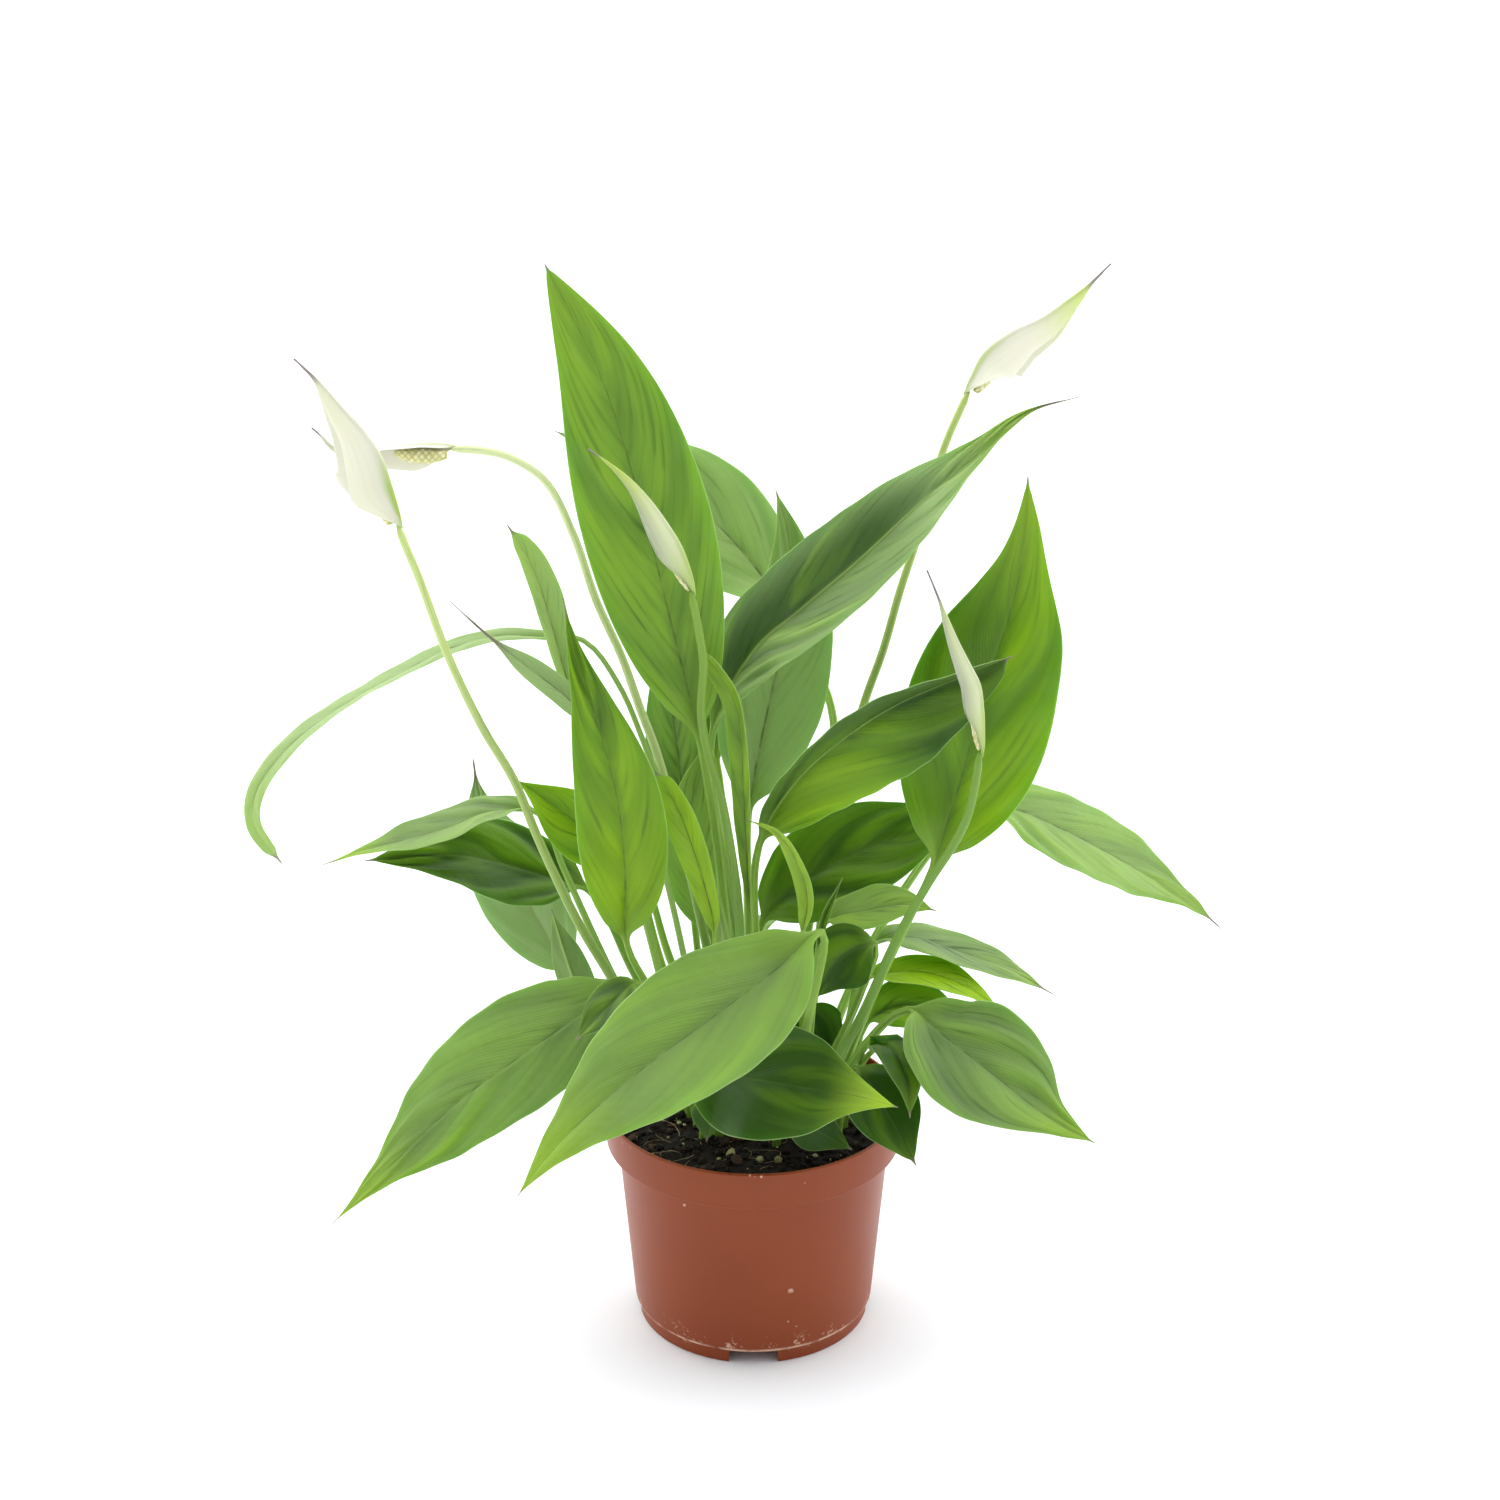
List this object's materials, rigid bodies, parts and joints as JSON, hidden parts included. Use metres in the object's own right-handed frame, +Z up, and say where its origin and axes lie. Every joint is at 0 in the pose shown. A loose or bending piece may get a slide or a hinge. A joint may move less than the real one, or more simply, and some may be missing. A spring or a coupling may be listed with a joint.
{
  "type": "potted peace lily",
  "caption": "A living peace lily in a round plastic nursery pot: leaves on slender petioles, white flowers on tall stalks, standing on its foot ring",
  "frame": {"origin": "on the pot's axis, on the surface that the pot stands on, which is the bottom centre of the whole plant's box", "axes": "+Z is up; +X is to the viewer's right and +Y is away from the viewer, as the plant is seen from its front"},
  "size_m": [0.3914, 0.2154, 0.4253],
  "materials": {
    "pot": "satin moulded terracotta-brown plastic",
    "soil": "damp dark potting soil with fibres and pale grains",
    "leaf": "glossy fresh green leaf",
    "stalk": "satin yellow-green stalk",
    "spathe": "soft white to cream spathe with a green midrib",
    "spadix": "bumpy cream-yellow spadix"
  },
  "bodies": {
    "root": {"pot": "pot", "soil": "soil", "leaf_back_center": "leaf", "leaf_back_left": "leaf", "leaf_back_low": "leaf", "leaf_back_right": "leaf", "leaf_center_curl": "leaf", "leaf_center_dark": "leaf", "leaf_center_green": "leaf", "leaf_center_pale": "leaf", "leaf_center_sheath": "leaf", "leaf_dark_right": "leaf", "leaf_far_right": "leaf", "leaf_front_big": "leaf", "leaf_front_dark": "leaf", "leaf_front_small": "leaf", "leaf_large_right": "leaf", "leaf_left_arch": "leaf", "leaf_left_behind": "leaf", "leaf_left_bluish": "leaf", "leaf_left_front": "leaf", "leaf_left_lower": "leaf", "leaf_left_narrow": "leaf", "leaf_left_round": "leaf", "leaf_left_upper": "leaf", "leaf_left_upright": "leaf", "leaf_low_behind_right": "leaf", "leaf_low_dark": "leaf", "leaf_lower_right": "leaf", "leaf_mid_left": "leaf", "leaf_mid_right": "leaf", "leaf_over_rim_right": "leaf", "leaf_right_bright": "leaf", "leaf_right_dark": "leaf", "leaf_right_inner": "leaf", "leaf_right_light": "leaf", "leaf_right_mid": "leaf", "leaf_small_behind": "leaf", "leaf_small_curl": "leaf", "leaf_soil_left": "leaf", "leaf_soil_right": "leaf", "leaf_spear_front": "leaf", "leaf_tall_behind": "leaf", "leaf_tall_left": "leaf", "stalk_center_bud": "stalk", "stalk_drooping": "stalk", "stalk_left": "stalk", "stalk_right": "stalk", "stalk_right_bud": "stalk", "spathe_center_bud": "spathe", "spathe_drooping": "spathe", "spathe_left": "spathe", "spathe_right": "spathe", "spathe_right_bud": "spathe", "spadix_center_bud": "spadix", "spadix_drooping": "spadix", "spadix_left": "spadix", "spadix_right": "spadix", "spadix_right_bud": "spadix"}
  },
  "joints": []
}
